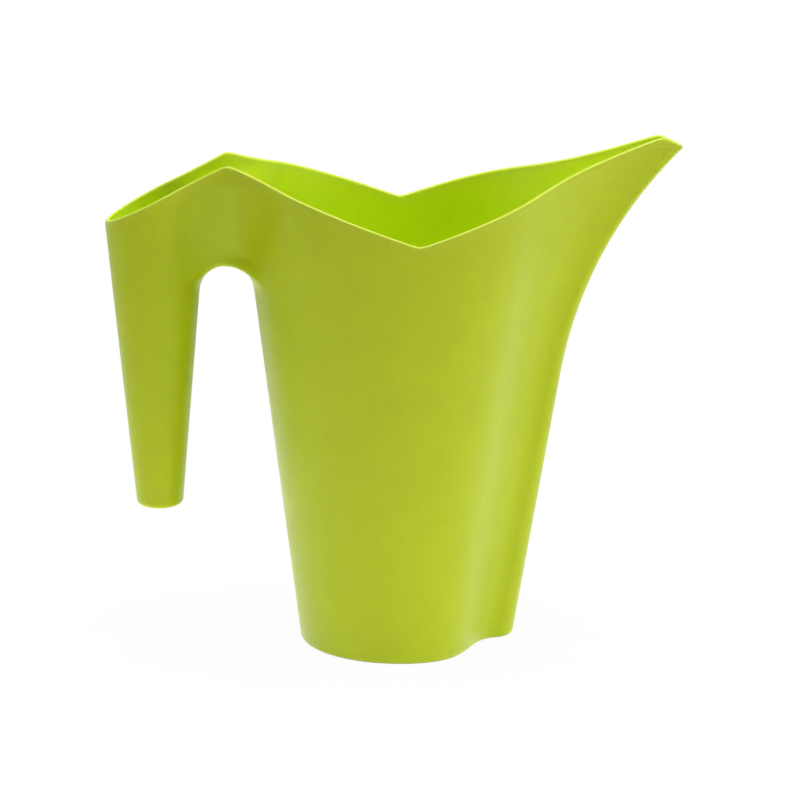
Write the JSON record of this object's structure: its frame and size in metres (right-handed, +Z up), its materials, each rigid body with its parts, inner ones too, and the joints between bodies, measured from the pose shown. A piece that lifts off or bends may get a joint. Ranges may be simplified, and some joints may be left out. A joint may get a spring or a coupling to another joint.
{
  "type": "watering can",
  "caption": "Round tapered watering can with an open zigzag rim, a keeled front that grows into a pointed pouring beak, and a hollow open-topped grip hung from a bridge.",
  "frame": {"origin": "centre of the round base, on the ground plane", "axes": "+X towards the pouring beak, -X towards the grip, +Z up; the can is mirror symmetric about Y = 0"},
  "size_m": [0.2355, 0.1274, 0.2096],
  "materials": {
    "lime_plastic": "satin, fine moulded grain"
  },
  "bodies": {
    "root": {"base": "lime_plastic", "vessel_wall": "lime_plastic", "shoulder_left": "lime_plastic", "shoulder_right": "lime_plastic", "spout": "lime_plastic", "bridge": "lime_plastic", "grip_mouth": "lime_plastic", "grip": "lime_plastic", "grip_cap": "lime_plastic"}
  },
  "joints": []
}
